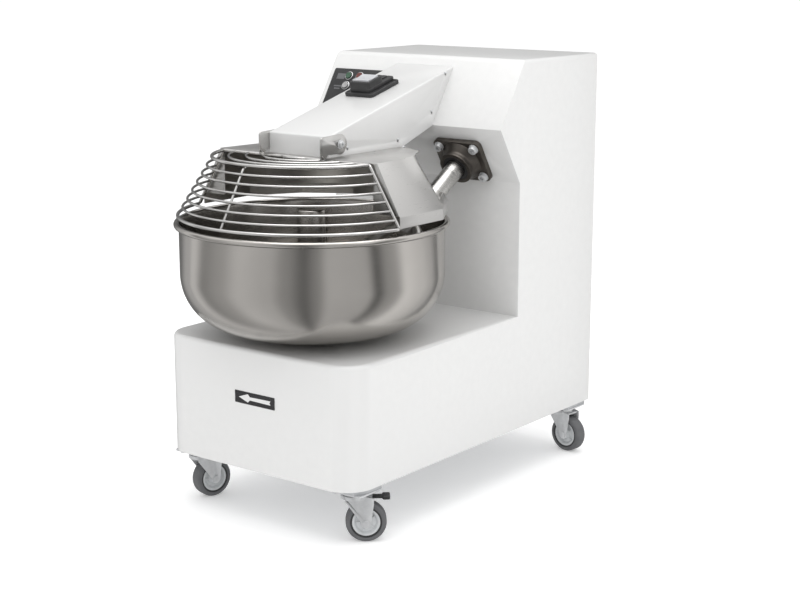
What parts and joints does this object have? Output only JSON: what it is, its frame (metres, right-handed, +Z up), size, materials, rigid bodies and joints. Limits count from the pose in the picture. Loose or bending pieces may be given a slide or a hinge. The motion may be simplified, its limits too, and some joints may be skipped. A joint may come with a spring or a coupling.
{
  "type": "fork dough mixer",
  "caption": "Floor-standing dough mixer: white cabinet on swivel casters, rotating steel bowl, inclined fork shaft and a lifting wire guard.",
  "frame": {"origin": "on the floor, at the centre of the footprint", "axes": "+Z up; the bowl and the controls face -Y; +X is to the right as the user faces the back"},
  "size_m": [0.552, 0.95, 0.9],
  "materials": {
    "white_paint": "smooth white enamel on folded sheet steel",
    "arm_steel": "grey primer",
    "panel_grey": "white enamel",
    "cover_steel": "light grey satin paint",
    "zinc": "bright zinc plate",
    "black_plastic": "matt black",
    "label_black": "black label with a plain arrow",
    "guard_wire": "polished stainless wire",
    "button_green": "green cap",
    "button_red": "red cap",
    "button_metal": "metal ringed cap",
    "rocker_grey": "pale grey moulding",
    "cast_iron": "dark cast iron",
    "seal_rubber": "black rubber",
    "bearing_steel": "ground steel",
    "shaft_steel": "turned stainless",
    "fork_steel": "stainless casting",
    "bronze": "worm wheel bronze",
    "bowl_steel": "spun brushed stainless",
    "motor_paint": "blue enamel",
    "wheel_plastic": "light grey moulded centre",
    "tyre_rubber": "grey non-marking rubber"
  },
  "bodies": {
    "cabinet": {"body_shell": "white_paint", "chassis_plate": "arm_steel", "rear_panel": "panel_grey", "rear_screws": "zinc", "cable_gland": "black_plastic", "arrow_label": "label_black", "arm_shell": "white_paint", "arm_beam": "arm_steel", "cover_screws": "zinc", "bowl_cover": "cover_steel", "guard_pivots": "zinc", "control_panel": "black_plastic", "switch_housing": "black_plastic", "bearing_flange": "cast_iron", "flange_bolts": "zinc", "shaft_seal": "seal_rubber", "fork_gearbox": "cast_iron", "fork_bearings": "bearing_steel", "bearing_housing": "cast_iron", "bowl_bearings": "bearing_steel", "bowl_gearbox": "cast_iron", "motor": "motor_paint", "fork_belt": "seal_rubber", "bowl_belt": "seal_rubber", "caster_plates": "zinc", "caster_bolts": "zinc"},
    "guard": {"guard_frame": "guard_wire", "guard_brackets": "guard_wire"},
    "fork_drive": {"fork_shaft": "shaft_steel", "fork": "fork_steel", "fork_wheel": "bronze"},
    "fork_input": {"fork_worm": "bearing_steel", "fork_pulley": "cast_iron"},
    "bowl": {"bowl": "bowl_steel", "bowl_foot": "bowl_steel", "centre_column": "bowl_steel", "bowl_spindle": "bearing_steel", "bowl_wheel": "bronze"},
    "bowl_input": {"bowl_worm": "bearing_steel", "bowl_pulley": "cast_iron"},
    "motor_rotor": {"motor_pulley": "bearing_steel"},
    "rocker": {"switch_rocker": "rocker_grey"},
    "push_button_1": {"button_1": "button_green"},
    "push_button_2": {"button_2": "button_red"},
    "push_button_3": {"button_3": "button_metal"},
    "push_button_4": {"button_4": "button_metal"},
    "caster_1": {"caster_fork_1": "zinc", "brake_pedal_1": "black_plastic"},
    "caster_wheel_1": {"wheel_1": "wheel_plastic", "tyre_1": "tyre_rubber"},
    "caster_2": {"caster_fork_2": "zinc", "brake_pedal_2": "black_plastic"},
    "caster_wheel_2": {"wheel_2": "wheel_plastic", "tyre_2": "tyre_rubber"},
    "caster_3": {"caster_fork_3": "zinc"},
    "caster_wheel_3": {"wheel_3": "wheel_plastic", "tyre_3": "tyre_rubber"},
    "caster_4": {"caster_fork_4": "zinc"},
    "caster_wheel_4": {"wheel_4": "wheel_plastic", "tyre_4": "tyre_rubber"}
  },
  "joints": [
    {"name": "fork_spin", "type": "hinge", "parent": "cabinet", "child": "fork_drive", "pos_m": [0.129, 0.14233, 0.69331], "axis": [0, -0.848, -0.5299], "continuous": true},
    {"name": "bowl_spin", "type": "hinge", "parent": "cabinet", "child": "bowl", "pos_m": [0, -0.199, 0.361], "axis": [0, 0, 1], "continuous": true},
    {"name": "fork_input_spin", "type": "hinge", "parent": "cabinet", "child": "fork_input", "pos_m": [0, 0.28754, 0.70623], "axis": [1, 0, 0], "continuous": true},
    {"name": "bowl_input_spin", "type": "hinge", "parent": "cabinet", "child": "bowl_input", "pos_m": [0, -0.101, 0.194], "axis": [1, 0, 0], "continuous": true},
    {"name": "motor_spin", "type": "hinge", "parent": "cabinet", "child": "motor_rotor", "pos_m": [0, 0.33, 0.216], "axis": [1, 0, 0], "continuous": true},
    {"name": "guard_lift", "type": "hinge", "parent": "cabinet", "child": "guard", "pos_m": [0, -0.207, 0.751], "axis": [-1, 0, 0], "range_deg": [0, 78]},
    {"name": "rocker_tilt", "type": "hinge", "parent": "cabinet", "child": "rocker", "pos_m": [-0.017, -0.00768, 0.86072], "axis": [1, 0, 0], "range_deg": [-5, 5]},
    {"name": "button_1_press", "type": "slide", "parent": "cabinet", "child": "push_button_1", "axis": [0, 0.8487, -0.5289], "range_m": [0, 0.0015], "stiffness_N_per_m": 300, "springref_m": -0.002},
    {"name": "button_2_press", "type": "slide", "parent": "cabinet", "child": "push_button_2", "axis": [0, 0.8487, -0.5289], "range_m": [0, 0.0015], "stiffness_N_per_m": 300, "springref_m": -0.002},
    {"name": "button_3_press", "type": "slide", "parent": "cabinet", "child": "push_button_3", "axis": [0, 0.8487, -0.5289], "range_m": [0, 0.0015], "stiffness_N_per_m": 300, "springref_m": -0.002},
    {"name": "button_4_press", "type": "slide", "parent": "cabinet", "child": "push_button_4", "axis": [0, 0.8487, -0.5289], "range_m": [0, 0.0015], "stiffness_N_per_m": 300, "springref_m": -0.002},
    {"name": "swivel_1", "type": "hinge", "parent": "cabinet", "child": "caster_1", "pos_m": [-0.206, -0.322, 0.113], "axis": [0, 0, 1], "continuous": true},
    {"name": "wheel_1_roll", "type": "hinge", "parent": "caster_1", "child": "caster_wheel_1", "pos_m": [-0.20031, -0.30075, 0.04], "axis": [-0.9659, 0.2588, 0], "continuous": true},
    {"name": "swivel_2", "type": "hinge", "parent": "cabinet", "child": "caster_2", "pos_m": [0.206, -0.322, 0.113], "axis": [0, 0, 1], "continuous": true},
    {"name": "wheel_2_roll", "type": "hinge", "parent": "caster_2", "child": "caster_wheel_2", "pos_m": [0.22285, -0.30786, 0.04], "axis": [-0.6428, 0.766, 0], "continuous": true},
    {"name": "swivel_3", "type": "hinge", "parent": "cabinet", "child": "caster_3", "pos_m": [-0.206, 0.425, 0.113], "axis": [0, 0, 1], "continuous": true},
    {"name": "wheel_3_roll", "type": "hinge", "parent": "caster_3", "child": "caster_wheel_3", "pos_m": [-0.22505, 0.436, 0.04], "axis": [-0.5, -0.866, 0], "continuous": true},
    {"name": "swivel_4", "type": "hinge", "parent": "cabinet", "child": "caster_4", "pos_m": [0.206, 0.425, 0.113], "axis": [0, 0, 1], "continuous": true},
    {"name": "wheel_4_roll", "type": "hinge", "parent": "caster_4", "child": "caster_wheel_4", "pos_m": [0.22784, 0.42232, 0.04], "axis": [0.1219, 0.9925, 0], "continuous": true}
  ],
  "couplings": [
    {"joint": "bowl_spin", "follows": "fork_spin", "ratio": -0.16667},
    {"joint": "fork_input_spin", "follows": "fork_spin", "ratio": 10},
    {"joint": "bowl_input_spin", "follows": "fork_spin", "ratio": 10.208},
    {"joint": "motor_spin", "follows": "fork_spin", "ratio": 23.333}
  ]
}
